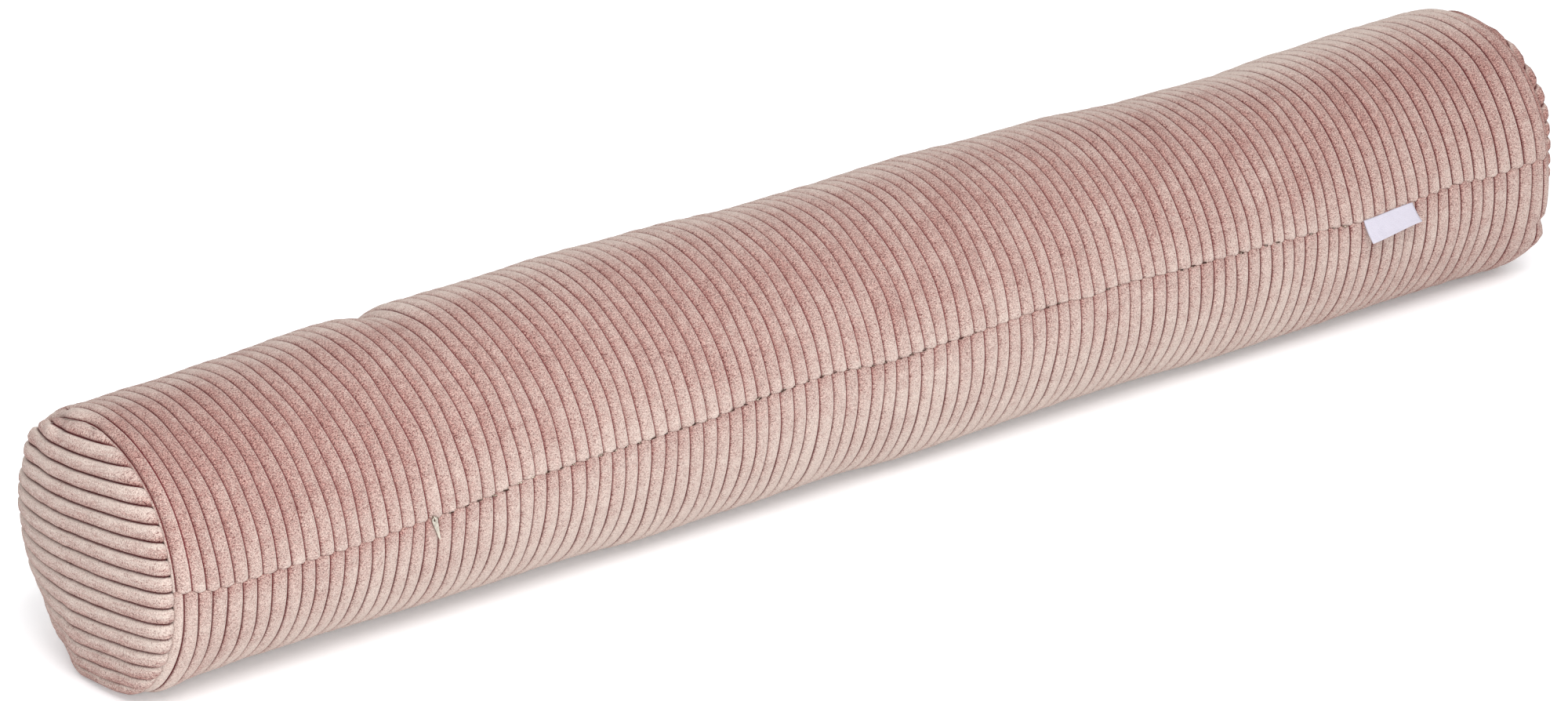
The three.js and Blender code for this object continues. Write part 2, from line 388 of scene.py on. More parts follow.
# Smooth reading between the points of a grid whose rings close on themselves
def readGrid(grid, row, column):
    rows, columns = grid.shape[:2]
    before, after = 2 * grid[:1] - grid[1:2], 2 * grid[-1:] - grid[-2:-1]
    padded = np.concatenate([before, grid, after])
    row = np.clip(row, 0, rows - 1)
    firstRow = np.minimum(np.floor(row).astype(int), rows - 2)
    firstColumn = np.floor(column).astype(int)

    def weights(t):
        return [0.5 * (-t + 2 * t ** 2 - t ** 3), 0.5 * (2 - 5 * t ** 2 + 3 * t ** 3),
                0.5 * (t + 4 * t ** 2 - 3 * t ** 3), 0.5 * (-t ** 2 + t ** 3)]

    rowWeights, columnWeights = weights(row - firstRow), weights(column - firstColumn)
    total = 0
    for i, rowWeight in enumerate(rowWeights):
        for j, columnWeight in enumerate(columnWeights):
            weight = (rowWeight * columnWeight)[..., None]
            total = total + weight * padded[firstRow + i, (firstColumn + j - 1) % columns]
    return total


def withNormals(place, first, second, step):
    points = place(first, second)
    alongFirst = place(first + step, second) - place(first - step, second)
    alongSecond = place(first, second + step) - place(first, second - step)
    normals = unit(np.cross(alongFirst, alongSecond))
    outwards = np.sign(((points - middleOfFilling) * normals).sum(-1, keepdims=True))
    return points, normals * np.where(outwards == 0, 1, outwards)


tubeGrid, endGrids = cushionGrids()
tubeGrid, endGrids = puckered(tubeGrid, endGrids)
print("form: grids ready")


def seamHeight(along):
    return lookUp(seamRows, "height", along) * mm


def slip(along):
    return lookUp(slipRows, "slip", along)


corduroy = {
    "waleShares": (0.9, 1.1),     # of the relief, for the lowest and the highest wale
    "unevenness": 0.0004,     # of their tops
    "lumpScale": 90.0,        # how many lumps of it there are in a metre, about
    "wander": 0.0005,         # sideways waviness of the wales
    "wanderAlong": 0.035, "wanderRound": 0.06, "wanderSeed": 7,
    "driftTop": 0.80,         # where the top's drift counts in full, as a share of the way round
    "driftReach": 0.20,
    "endSquareness": 2.4,     # of a wale's end at the front seam, seen from outside
    "seamRound": 0.0016,      # over which a wale end rounds down into the seam
    "seamDepth": 0.0004,      # of the seam below the grooves
    "seamWander": 0.0010,     # how far a wale end pushes into the gap beside it
    "seamReach": 0.0022,      # how far from the seam this dies out
    "seamGap": -0.0002,       # the wale ends press on each other
    "grooveGap": 0.0006,      # and stand this much further apart where two grooves meet
    "seamHeight": 0.75,       # of the wale ends where they meet, as a share of a wale
    "seamShade": 0.60,         # how far the painted crease shade shows there
    "rimRound": 0.0022,       # over which the cloth rounds down into an end seam
    "rimDepth": 0.0008,       # of that seam below the grooves
    "rimReach": 0.03,         # beside the end seams, where the wales keep their straight lines
    "rimCrowding": 1.35,      # of the columns towards the end seams
    "wallDepth": 0.0045,      # of the cloth that is folded in at a seam
    "zipRoom": 0.0010,        # from the seam line to that cloth, over the zip
    "zipRoomEnd": 0.300,      # how far from the middle that room reaches
    "zipRoomFade": 0.006,
    "roundCuts": 92,
    "rimCuts": 26,
    "normalStep": 0.0005,
}

# Where the mesh is cut across a wale, from its left groove on
waleCuts = np.array([0, 0.045, 0.12, 0.28, 0.5, 0.72, 0.88, 0.955])
outermost = [0, -1]           # rows or columns of the panel's points: the cloth folded in


def waleHeight(wale, squareness):
    return 1 - np.abs(2 * (wale % 1) - 1) ** squareness


# Smooth unevenness over a surface, between about -1 and 1, always the same for one seed
def waves(seed, first, second, firstScale, secondScale, count=14):
    draw = np.random.default_rng(seed)
    total = 0
    for _ in range(count):
        turn = draw.uniform(0, 2 * np.pi)
        shift = draw.uniform(0, 2 * np.pi)
        stretch = draw.uniform(0.4, 1.6)
        onward = math.cos(turn) * first / firstScale + math.sin(turn) * second / secondScale
        total = total + np.sin(2 * np.pi * stretch * onward + shift)
    return total / math.sqrt(count)


# Meshes of rows and columns of points; the rows may close on themselves
def gridMesh(name, points, closeRows, caps=()):
    rows, columns = points.shape[:2]
    index = np.arange(rows * columns).reshape(rows, columns)
    nextRow = np.roll(index, -1, axis=0) if closeRows else index[1:]
    here = index if closeRows else index[:-1]
    quads = np.stack([here[:, :-1], nextRow[:, :-1], nextRow[:, 1:], here[:, 1:]], -1).reshape(-1, 4)
    places = points.reshape(-1, 3).tolist()
    faces = quads.tolist()
    for column, centre, turned in caps:
        edge = index[:, column].tolist()
        pairs = zip(edge, edge[1:] + edge[:1])
        faces += [(b, a, len(places)) if turned else (a, b, len(places)) for a, b in pairs]
        places.append(centre)
    mesh = bpy.data.meshes.new(name)
    mesh.from_pydata(places, [], faces)
    mesh.update()
    return mesh


def addNumbers(mesh, name, values, extra=0):
    values = np.concatenate([np.asarray(values, float).reshape(-1), np.zeros(extra)])
    layer = mesh.attributes.new(name, "FLOAT", "POINT")
    layer.data.foreach_set("value", values)


def addVectors(mesh, name, values, extra=0):
    values = np.concatenate([np.asarray(values, float).reshape(-1, 3), np.zeros((extra, 3))])
    layer = mesh.attributes.new(name, "FLOAT_VECTOR", "POINT")
    layer.data.foreach_set("vector", values.reshape(-1))


def addClothMap(mesh, name, first, second, extra=0):
    pairs = np.stack([np.asarray(first, float).reshape(-1), np.asarray(second, float).reshape(-1)], -1)
    pairs = np.concatenate([pairs, np.zeros((extra, 2))])
    corners = np.zeros(len(mesh.loops), int)
    mesh.loops.foreach_get("vertex_index", corners)
    layer = mesh.uv_layers.new(name=name)
    layer.data.foreach_set("uv", pairs[corners].reshape(-1))


# Everything that the wales and the finish read from the cloth
def addReadings(mesh, numbers, outward, down, extra=0):
    for name, values in numbers.items():
        addNumbers(mesh, name, values, extra)
    addVectors(mesh, "outward", outward, extra)
    addClothMap(mesh, "cloth", numbers["wale"], down, extra)


# How pale the pile looks round the tube, in degrees above the level of the front: partly its nap and
# partly painted light and shade, paler low at the front, darker over the upper front, with painted sheen
# towards the top
napRows = [
    dict(angle=-180, brushed=0.60), dict(angle=-60, brushed=1.08), dict(angle=-40, brushed=1.06),
    dict(angle=-16, brushed=0.84), dict(angle=8, brushed=0.64), dict(angle=32, brushed=0.42),
    dict(angle=56, brushed=0.28), dict(angle=80, brushed=0.38), dict(angle=104, brushed=0.90),
    dict(angle=140, brushed=0.80), dict(angle=180, brushed=0.60),
]

# Along the cushion: how far painted shade darkens the grooves, from 0 to 1, how much paler the pile, and
# how far the wale ends of the front seam stand out of line
alongRows = [
    dict(along=-445, dark=0.60, paler=-0.08, steps=0.6),
    dict(along=-425, dark=0.45, paler=-0.14, steps=0.6),
    dict(along=-400, dark=0.30, paler=-0.14, steps=0.6),
    dict(along=-330, dark=0.10, paler=-0.10, steps=0.65),
    dict(along=-200, dark=0.00, paler=0.0, steps=0.6),
    dict(along=100, dark=0.05, paler=0.0, steps=0.65),
    dict(along=220, dark=0.55, paler=-0.02, steps=0.8),
    dict(along=400, dark=1.0, paler=-0.06, steps=1.0),
    dict(along=445, dark=1.0, paler=-0.06, steps=1.0),
]

# Where painted shade darkens the grooves round the tube: the angles between which each step comes in
shadeRows = [
    dict(darker=1.0, begins=(15, -25)), dict(darker=0.6, begins=(56, 88)),
    dict(darker=0.1, begins=(120, 180)),
]

# Zones near the right end with paler or darker pile: the angles at which each begins and ends
# round the tube, and where it sets in along it
zoneRows = [
    dict(paler=0.30, begins=(66, 84), ends=(170, 120), along=(0.20, 0.35)),
    dict(paler=-0.42, begins=(-170, -120), ends=(0, -40), along=(0.20, 0.42)),
]
seamPile = {
    "below": -0.34, "belowReach": 0.0032,     # how much paler the pile is beside the front seam; below it, painted shade in the seam's valley makes it darker
    "above": 0.18, "aboveReach": 0.006,
}


# Pile paleness round the tube and along it, partly painted light and shade, with painted shade beside the
# front seam below it
def napLightAndShadeAt(along, level, fromSeam, belowSeam, awayFromRim):
    brushed = lookUp(napRows, "brushed", level) + lookUp(alongRows, "paler", along)
    for row in zoneRows:
        inside = smoothStep(*row["begins"], level) * smoothStep(*row["ends"], level)
        brushed += row["paler"] * inside * smoothStep(*row["along"], along)
    below = seamPile["below"] * np.exp(-fromSeam / seamPile["belowReach"])
    above = seamPile["above"] * awayFromRim * np.exp(-fromSeam / seamPile["aboveReach"])
    return brushed + np.where(belowSeam, below, above)


# Painted shade in the grooves, from 0 to 1
def shadedAt(along, level):
    around = sum(row["darker"] * smoothStep(*row["begins"], level) for row in shadeRows)
    return np.clip(lookUp(alongRows, "dark", along) + around, 0, 1)


# Small folds beside the end seams: where they are, in degrees round the end and mm from the seam,
# their length and width, how high they stand, and how far they reach out over the seam; for each
# cloth, with the left end as -1 and the right end as 1
foldRows = {
    ("panel", -1): [
        dict(angle=101, fromSeam=3.0, length=8.0, width=4.0, height=1.4, over=3.4),
        dict(angle=113, fromSeam=10.0, length=2.0, width=6.0, height=-2.0, over=0.0),
        dict(angle=87, fromSeam=1.5, length=3.5, width=3.0, height=-1.3, over=-0.8),
        dict(angle=119, fromSeam=2.5, length=4.0, width=3.5, height=-2.0, over=-1.5),
    ],
    ("disc", -1): [
        dict(angle=110, fromSeam=7.0, length=4.5, width=3.0, height=2.4, over=0.0),
        dict(angle=96, fromSeam=7.0, length=7.5, width=3.2, height=2.6, over=0.0),
        dict(angle=102, fromSeam=1.5, length=15, width=2.4, height=-2.4, over=0.0),
        dict(angle=119, fromSeam=3.0, length=3.0, width=3.5, height=-2.2, over=0.0),
        dict(angle=85, fromSeam=1.5, length=3.5, width=3.0, height=-1.8, over=0.0),
    ],
    ("disc", 1): [
        dict(angle=-25, fromSeam=6.0, length=48, width=12.0, height=-4.5, over=0.0),
    ],
    ("panel", 1): [
        dict(angle=-22, fromSeam=4.0, length=3.2, width=9.0, height=-2.4, over=-0.3),
        dict(angle=-31, fromSeam=3.0, length=5.0, width=7.0, height=1.6, over=0.8),
    ],
}


def foldMove(cloth, side, angle, fromSeam, normals):
    total = np.zeros_like(normals)
    outward = np.array([side, 0.0, 0.0])
    for row in foldRows[cloth, side]:
        away = (angle - row["angle"] + 180) % 360 - 180
        around = np.radians(away) * groundRadius / (row["length"] * mm)
        inward = (fromSeam - row["fromSeam"] * mm) / (row["width"] * mm)
        share = np.exp(-around ** 2 - inward ** 2)[..., None]
        total += share * (row["height"] * normals + row["over"] * outward) * mm
    return total


# Distances from a seam for rows of points, close together near it
lipSteps = np.array([0.0, 0.35, 0.9, 1.6, 2.5, 3.7, 5.2]) * mm


def roundedLip(distance, reach):
    return np.sqrt(np.clip(1 - (1 - np.minimum(distance / reach, 1)) ** 2, 0, 1))


# A point of the main panel: distance from its left edge, and distance down from the front seam
def onTube(across, down):
    row = across / cushion["flatLength"] * cushion["lengthCuts"]
    angle = (seamHeight(across - halfLength) - down) / groundRadius
    grid = readGrid(tubeGrid, row, angle / (2 * np.pi) * cushion["roundCuts"])
    return settle(grid, cushion["relief"])


# Points at a lift over the panel's ground, with their outward directions
def onCloth(x, above, lift=0.0):
    across = x + halfLength
    for _ in range(3):
        points, normals = withNormals(onTube, across, -above, corduroy["normalStep"])
        across = across + x - points[..., 0]
    return points + normals * np.asarray(lift)[..., None], normals


# Rows of points round the tube from the front seam and back to it, in columns along the wales
def panelGrid():
    k = corduroy
    body = np.linspace(lipSteps[-1], girth - lipSteps[-1], k["roundCuts"])[1:-1]
    downs = np.concatenate([[0], lipSteps, body, girth - lipSteps[::-1], [girth]])[:, None]
    first, last = 1, cushion["wales"] - 3
    wales = np.concatenate([(np.arange(first, last)[:, None] + waleCuts).reshape(-1), [last]])
    share = np.concatenate([[0], np.linspace(0, 1, k["rimCuts"])[:-1] ** k["rimCrowding"]])
    middle = (wales + cushion["firstGroove"]) * pitch
    aligned = middle + slip(middle - halfLength) * pitch * (downs / girth)
    left = aligned[:, :1] * share
    right = cushion["flatLength"] - (cushion["flatLength"] - aligned[:, -1:]) * share[::-1]
    across = np.concatenate([left, aligned, right], 1)
    down = downs + 0 * across
    wale = across / pitch - cushion["firstGroove"] - slip(across - halfLength) * (down / girth)
    wale[:, len(share):-len(share)] = wales
    return across, down, wale


# How far the wale ends of the two sides push past each other at the front seam
def seamPush(across, fromSeam, belowSeam):
    k = corduroy
    along = across - halfLength
    wale = across / pitch - cushion["firstGroove"]
    lower = waleHeight(wale, k["endSquareness"])
    upper = waleHeight(wale - slip(along), k["endSquareness"])
    push = k["seamWander"] * lookUp(alongRows, "steps", along) * (lower - upper)
    gap = k["seamGap"] + k["grooveGap"] * (1 - np.maximum(lower, upper))
    return (np.where(belowSeam, gap / 2, -gap / 2) - push) * np.exp(-fromSeam / k["seamReach"])


# The wales leave their straight lines, apart from right beside the end seams
def drifted(across, down, awayFromRim):
    k = corduroy
    along = across - halfLength
    share = 1 - smoothStep(0.0, k["driftReach"], np.abs(down / girth - k["driftTop"]))
    drift = lookUp(driftRows, "seam", along) * (1 - share) + lookUp(driftRows, "top", along) * share
    across = across + drift * pitch * awayFromRim
    wander = waves(k["wanderSeed"], across, down, k["wanderAlong"], k["wanderRound"])
    return across + k["wander"] * awayFromRim * wander


# The main panel: its wales run round the tube, and it turns in at the front and end seams
def panelCloth():
    k = corduroy
    across, down, wale = panelGrid()
    along = across - halfLength
    fromSeam = np.minimum(down, girth - down)
    fromRim = np.minimum(across, cushion["flatLength"] - across)
    belowSeam = down < girth / 2
    awayFromRim = smoothStep(0.0, k["rimReach"], fromRim)
    down = down + seamPush(across, fromSeam, belowSeam)
    zipRoom = k["zipRoom"] * smoothStep(k["zipRoomEnd"] + k["zipRoomFade"], k["zipRoomEnd"], np.abs(along))
    down[outermost] += np.where(belowSeam, zipRoom, -zipRoom)[outermost]

    seamLip = roundedLip(fromSeam, k["seamRound"])
    rimLip = roundedLip(fromRim, k["rimRound"])
    ease = (k["seamHeight"] + (1 - k["seamHeight"]) * seamLip) * rimLip
    ease[outermost] = 0
    # how far the cloth is tucked in, where painted crease shade shows
    tucked = np.maximum(1 - rimLip, k["seamShade"] * (1 - seamLip))
    seamSink = k["seamDepth"] * (1 - seamLip)
    seamSink[outermost] += k["wallDepth"]
    rimSink = k["rimDepth"] * (1 - rimLip)
    rimSink[:, outermost] += k["wallDepth"]

    across = drifted(across, down, awayFromRim)
    points, normals = withNormals(onTube, across, down, k["normalStep"])
    side = np.sign(across - halfLength)
    corner = unit(normals + np.stack([side, 0 * side, 0 * side], -1))
    points = points - normals * seamSink[..., None] - corner * rimSink[..., None]
    angle = np.degrees((seamHeight(along) - down) / groundRadius)
    for end, inwards in ((-1, across), (1, cushion["flatLength"] - across)):
        points += foldMove("panel", end, angle, inwards, normals)
    caps = [(column, points[:, column].mean(0).tolist(), turned)
            for column, turned in ((0, True), (-1, False))]
    mesh = gridMesh("panel", points, True, caps)
    level = (angle + 180) % 360 - 180
    brushed = napLightAndShadeAt(along, level, fromSeam, belowSeam, awayFromRim)
    numbers = {"wale": wale, "ease": ease, "tucked": tucked, "brushed": brushed,
               "shaded": shadedAt(along, level)}
    addReadings(mesh, numbers, normals, down / pitch, len(caps))
    return newObject("panel", mesh)


# The two round ends, the left one as -1 and the right one as 1
disc = {
    "turn": {-1: 4.5, 1: -4.5},            # degrees that the wales rise towards the front
    "firstGroove": {-1: 0.02, 1: 0.10},    # wales above the middle
    "brushed": {-1: 0.70, 1: 0.10},        # how pale the pile looks, partly painted light and shade on each end
    "darkerBelow": 0.5,       # how much less so at the bottom
    "lowFrom": 0.2,           # how far below the middle this begins, as a share of the radius
    "relief": 0.0030,
    "squareness": 4.6,
    "back": 0.0012,           # thickness of the cloth below the grooves
    "longCuts": 90,
    "edgeCrowding": 0.55,     # of the cuts towards the ends of each wale
    "edgeRoom": 0.0004,       # from the last cut to the edge
    "shortest": 0.0002,       # half the length of the shortest cut
    "normalStep": 0.0003,
}


# Cuts through a round end in lines along its wales: which wale each is on, and how high it lies
def discRows(firstGroove):
    edge = groundRadius / pitch
    reach = int(edge) + 2
    wales = (np.arange(-reach, reach)[:, None] + waleCuts).reshape(-1)
    heights = (wales + firstGroove) * pitch
    kept = np.abs(heights) < groundRadius - disc["edgeRoom"]
    wales = np.concatenate([[-edge - firstGroove], wales[kept], [edge - firstGroove]])
    heights = np.concatenate([[-groundRadius], heights[kept], [groundRadius]])
    return wales[:, None], heights[:, None]


# A point of a round end, by its distances in front of the middle and above it
def onDome(side, forward, upward):
    row = (1 - np.hypot(forward, upward) / groundRadius) * cushion["domeCuts"]
    column = np.arctan2(upward, forward) / (2 * np.pi) * cushion["roundCuts"]
    return settle(readGrid(endGrids[side], row, column), disc["relief"])


# A round end: wales run across it, and its edge turns in at the end seam
def discCloth(name, side):
    wales, up = discRows(disc["firstGroove"][side])
    t = np.linspace(-side, side, disc["longCuts"])
    t = np.sin(t * np.pi / 2) * disc["edgeCrowding"] + t * (1 - disc["edgeCrowding"])
    along = np.sqrt(np.maximum(groundRadius ** 2 - up ** 2, disc["shortest"] ** 2)) * t
    wale = wales + 0 * along
    turn = math.radians(disc["turn"][side])
    forward = along * math.cos(turn) - up * math.sin(turn)
    upward = along * math.sin(turn) + up * math.cos(turn)
    fromRim = np.maximum(groundRadius - np.hypot(forward, upward), 0)
    ease = roundedLip(fromRim, corduroy["rimRound"])

    def place(forwardAt, upAt):
        return onDome(side, forwardAt, upAt)

    points, normals = withNormals(place, forward, upward, disc["normalStep"])
    radial = unit(np.stack([0 * forward, -forward, upward], -1))
    points = points - unit(normals + radial) * (corduroy["rimDepth"] * (1 - ease))[..., None]
    angle = np.degrees(np.arctan2(upward, forward))
    points += foldMove("disc", side, angle, fromRim, normals)
    mesh = gridMesh(name, points, False)
    lowest = smoothStep(disc["lowFrom"], 1.0, -upward / groundRadius)
    always = 1 + 0 * wale
    numbers = {"wale": wale, "ease": ease, "tucked": 1 - ease, "shaded": always, "combed": always,
               "brushed": disc["brushed"][side] - disc["darkerBelow"] * lowest}
    addReadings(mesh, numbers, normals, along / pitch)
    return newObject(name, mesh)


panel = panelCloth()
leftDisc, rightDisc = discCloth("disc_left", -1), discCloth("disc_right", 1)
print("cloth: panel", len(panel.data.polygons), "left", len(leftDisc.data.polygons))


# A node's output, with which sums are written as sums
class Wire:
    def __init__(self, tree, socket):
        self.tree, self.socket = tree, socket

    def sum(self, operation, *values):
        return self.tree.node("ShaderNodeMath", {"operation": operation}, dict(enumerate(values)))

    def __add__(self, other):
        return self.sum("ADD", self, other)

    def __radd__(self, other):
        return self.sum("ADD", other, self)

    def __sub__(self, other):
        return self.sum("SUBTRACT", self, other)

    def __rsub__(self, other):
        return self.sum("SUBTRACT", other, self)

    def __mul__(self, other):
        return self.sum("MULTIPLY", self, other)

    def __rmul__(self, other):
        return self.sum("MULTIPLY", other, self)

    def __pow__(self, other):
        return self.sum("POWER", self, other)

    def __abs__(self):
        return self.sum("ABSOLUTE", self)

    def fraction(self):
        return self.sum("FRACT", self)

    def whole(self):
        return self.sum("FLOOR", self)

    def sine(self):
        return self.sum("SINE", self)


black, white = (0, 0, 0), (1, 1, 1)


# A tree of nodes, with short names for those that are used often
class Tree:
    def __init__(self, tree):
        self.tree = tree
        self.tree.nodes.clear()

    def node(self, kind, settings=None, inputs=None, output=0):
        made = self.tree.nodes.new(kind)
        for key, value in (settings or {}).items():
            if key == "stops":
                self.setStops(made.color_ramp, value)
            else:
                setattr(made, key, value)
        for key, value in (inputs or {}).items():
            self.feed(made.inputs[key], value)
        return Wire(self, made.outputs[output]) if made.outputs else None

    def feed(self, socket, value):
        if isinstance(value, Wire):
            self.tree.links.new(value.socket, socket)
        else:
            socket.default_value = value

    def setStops(self, ramp, stops):
        while len(ramp.elements) < len(stops):
            ramp.elements.new(1)
        for element, (position, colour) in zip(ramp.elements, stops):
            element.position = position
            element.color = (*colour, 1)

    def objectPlace(self):
        return self.node("ShaderNodeTexCoord", output=3)

    def mapPlace(self, name):
        pair = self.node("ShaderNodeUVMap", {"uv_map": name})
        return [self.node("ShaderNodeSeparateXYZ", None, {0: pair}, output) for output in (0, 1)]

    def reading(self, name):
        return self.node("ShaderNodeAttribute", {"attribute_name": name}, output=2)

    def stretched(self, x, y, stretch):
        return self.node("ShaderNodeCombineXYZ", None, {0: x * stretch[0], 1: y * stretch[1]})

    def noise(self, vector, scale, detail=2.0, roughness=0.5, distortion=0.0):
        return self.node("ShaderNodeTexNoise", None, {
            "Vector": vector, "Scale": scale, "Detail": detail, "Roughness": roughness,
            "Distortion": distortion})

    def ramp(self, value, *stops):
        return self.node("ShaderNodeValToRGB", {"stops": stops}, {"Fac": value})

    def mask(self, value, dark, light):
        return self.ramp(value, (dark, black), (light, white))

    def mix(self, factor, first, second, blend="MIX"):
        return self.node("ShaderNodeMix", {"data_type": "RGBA", "blend_type": blend},
                         {0: factor, 6: first, 7: second}, 2)

    def bump(self, height, distance, strength=1.0):
        return self.node("ShaderNodeBump", None, {
            "Height": height, "Distance": distance, "Strength": strength})

    def surface(self, inputs):
        shader = self.node("ShaderNodeBsdfPrincipled", None, inputs)
        self.node("ShaderNodeOutputMaterial", None, {"Surface": shader})


def newMaterial(name):
    material = bpy.data.materials.new(name)
    material.use_nodes = True
    return material, Tree(material.node_tree)


# A Geometry Nodes tree with its inputs, given by name, and one output
class ShapeTree(Tree):
    def __init__(self, name, inputs, output):
        super().__init__(bpy.data.node_groups.new(name, "GeometryNodeTree"))
        sockets = [(socket, "INPUT", kind) for socket, kind in inputs.items()]
        for socket, way, kind in sockets + [(output, "OUTPUT", "Geometry")]:
            self.tree.interface.new_socket(socket, in_out=way, socket_type="NodeSocket" + kind)
        self.given = self.tree.nodes.new("NodeGroupInput")

    def value(self, name):
        return Wire(self, self.given.outputs[name])

    def named(self, name, kind="FLOAT"):
        return self.node("GeometryNodeInputNamedAttribute", {"data_type": kind}, {"Name": name})

    def finish(self, geometry):
        real = self.node("GeometryNodeRealizeInstances", None, {0: geometry})
        painted = self.node("GeometryNodeSetMaterial", None, {
            "Geometry": real, "Material": self.value("Finish")})
        self.node("NodeGroupOutput", None, {0: painted})
        return self.tree


# Raises the wales of a cloth over its grooves, each by its own share
def walesTree():
    tree = ShapeTree("raisedWales", {
        "Cloth": "Geometry", "Relief": "Float", "Squareness": "Float", "Unevenness": "Float",
        "Seed": "Int", "Finish": "Material"}, "Cloth")
    wale = tree.named("wale")
    height = 1 - abs(2 * wale.fraction() - 1) ** tree.value("Squareness")
    share = tree.node("FunctionNodeRandomValue", {"data_type": "FLOAT"}, {
        2: corduroy["waleShares"][0], 3: corduroy["waleShares"][1],
        "ID": wale.whole(), "Seed": tree.value("Seed")}, 1)
    lumps = tree.noise(tree.node("GeometryNodeInputPosition"), corduroy["lumpScale"])
    lift = height * tree.value("Relief") * share + (lumps - 0.5) * tree.value("Unevenness")
    offset = tree.node("ShaderNodeVectorMath", {"operation": "SCALE"}, {
        0: tree.named("outward", "FLOAT_VECTOR"), "Scale": lift * tree.named("ease")})
    moved = tree.node("GeometryNodeSetPosition", None, {
        "Geometry": tree.value("Cloth"), "Offset": offset})
    return tree.finish(tree.node("GeometryNodeSetShadeSmooth", None, {0: moved}))


# Runs a node group on an object and keeps what comes out as a plain mesh
def runTree(target, group, settings):
    modifier = target.modifiers.new(group.name, "NODES")
    modifier.node_group = group
    for item in group.interface.items_tree:
        if item.item_type == "SOCKET" and item.in_out == "INPUT" and item.name in settings:
            modifier[item.identifier] = settings[item.name]
    keepEvaluated(target)


def thicken(target, thickness, offset):
    modifier = target.modifiers.new("thickness", "SOLIDIFY")
    modifier.thickness, modifier.offset = thickness, offset
    keepEvaluated(target)


def evaluatedMesh(target):
    bpy.context.view_layer.update()
    return bpy.data.meshes.new_from_object(target.evaluated_get(bpy.context.evaluated_depsgraph_get()))


def keepEvaluated(target):
    mesh = evaluatedMesh(target)
    target.modifiers.clear()
    old = target.data
    target.data = mesh
    mesh.name = target.name
    bpy.data.meshes.remove(old)


# Corduroy reads its wales from the cloth map: how many wales across, and how far along them
pileLook = {
    "pale": (0.507, 0.420, 0.376, 1),
    "dark": (0.305, 0.178, 0.156, 1),
    "speck": (0.210, 0.082, 0.075, 1),
    # groove colours hold painted shade, darker still where the grooves are shaded
    "groove": (0.138, 0.020, 0.026, 1),
    "shadedGroove": (0.074, 0.006, 0.009, 1),
    # painted shade in the creases of the seams
    "creaseShade": (0.330, 0.070, 0.060, 1),
    "patches": 0.45,          # strength of the brushed patches
    "streaks": 0.40,          # and of the tones that run along each wale
    "lean": 0.38,             # how much redder and darker the left side of each wale looks: painted shade on the side away from the light
    "tipHighlight": 0.35,              # how much paler the tips beside its right groove are: a painted highlight where the wale's edge catches the light
    "tipHighlightStops": (0.80, 0.90, 0.96),   # where this painted highlight begins, peaks and ends, from its left groove on
    "flankShade": 0.40,            # how much redder and darker both sides of a wale look: painted shade on its flanks
    "small": 0.75,            # strength of the small clumps of pile
    "specks": 0.80,           # and of the fine speckle
    "speckStops": (0.30, 0.50),   # of its noise: full specks and none
    "speckLean": 0.06,        # how many fewer specks pale pile has
    "combed": 1.1,            # strength of the tuft rows where the pile is combed along the wales
    "combShade": 0.5,          # and how much redder the lower side of each wale is there: painted shade under each wale
    "combSmooth": 0.25,       # how much weaker the clumps are there
    "grain": 1.8,             # strength of the grain of single tufts
    "wormGrain": 0.7,         # and of the worm-like ones against it
    "roughWhere": (1.35, 0.9),    # strength of grain and speckle on dark pile, and less on pale
    "shadedWidth": 2.7,       # how much wider the painted groove shade is where the grooves are shaded, so that the wales look rounder
    "grooveStops": (0.12, 0.52),  # heights on a wale between which groove turns to pile
    "creaseShadeStops": (0.55, 1.0),   # how far the cloth is tucked in where the painted crease shade shows
    "bumpHeight": 0.0006, "bumpStrength": 0.6,
    "grainBump": 0.9, "wormBump": 1.1, "smallBump": 0.8,
    "sheen": 0.04, "sheenTint": (1, 0.90, 0.87, 1),
}

# Scale, detail, roughness and distortion of each noise
pileNoise = {
    "patches": (26.0, 3.0, 0.55, 0.5),
    "streaks": (1.0, 2.0, 0.5, 0.0),
    "rows": (1.0, 2.0, 0.6, 0.0),
    "small": (190.0, 3.0, 0.6, 0.8),
    "worms": (10.5, 1.0, 0.5, 1.0),
    "grain": (2000.0, 1.0, 0.6, 0.0),
}

# How closely three of them are packed across the wales and along them
pileStretch = {"streaks": (0.63, 0.22), "rows": (6.0, 0.8), "worms": (1.0, 1.4)}


# How pale the pile is, from 0 to 1: its nap and patches, with painted light and shade round the tube and
# across each wale
def napLightAndShadeTone(tree, place, wale, along, small):
    look = pileLook
    phase, combed = wale.fraction(), tree.reading("combed")
    patches = tree.noise(place, *pileNoise["patches"])
    streakPlace = tree.stretched(wale.whole(), along, pileStretch["streaks"])
    streaks = tree.noise(streakPlace, *pileNoise["streaks"])
    rows = tree.noise(tree.stretched(wale, along, pileStretch["rows"]), *pileNoise["rows"])
    begin, peak, end = look["tipHighlightStops"]
    tipHighlight = tree.ramp(phase, (begin, black), (peak, white), (end, black))
    paleness = tree.reading("brushed") + (patches - 0.5) * look["patches"] + (streaks - 0.5) * look["streaks"]
    paleness = paleness + (small - 0.5) * (look["small"] - combed * look["combSmooth"])
    # painted shade on the left side and the flanks of each wale
    paleness = paleness + (phase - 0.5) * look["lean"] - abs(2 * phase - 1) ** 5 * look["flankShade"]
    # painted highlight on the tips beside its right groove
    paleness = paleness + tipHighlight * look["tipHighlight"]
    # on the ends: tuft rows, and painted shade on the lower side of each wale
    paleness = paleness + ((rows - 0.5) * look["combed"] + (phase - 0.6) * look["combShade"]) * combed
    return tree.mask(paleness, 0.0, 1.0)


